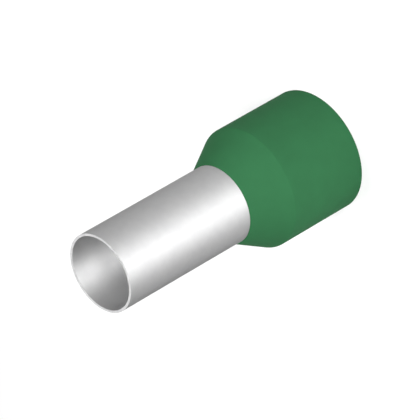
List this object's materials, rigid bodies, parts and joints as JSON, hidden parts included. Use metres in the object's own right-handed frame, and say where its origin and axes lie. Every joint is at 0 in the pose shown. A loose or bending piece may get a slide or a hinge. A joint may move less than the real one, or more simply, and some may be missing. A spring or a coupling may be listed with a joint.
{
  "type": "wire ferrule",
  "caption": "Insulated wire ferrule: a thin tin-plated crimp sleeve, flared inside a tapered green plastic collar with a funnel entry for stranded wire.",
  "frame": {"origin": "centre of the collar's open rear rim, on the common axis of sleeve and collar", "axes": "+Z along the common axis, from the collar's rear rim towards the sleeve's mouth"},
  "size_m": [0.0096, 0.0096, 0.022],
  "materials": {
    "tinned_copper": "satin",
    "green_polypropylene": "satin"
  },
  "bodies": {
    "root": {"metal_sleeve": "tinned_copper", "plastic_collar": "green_polypropylene"}
  },
  "joints": []
}
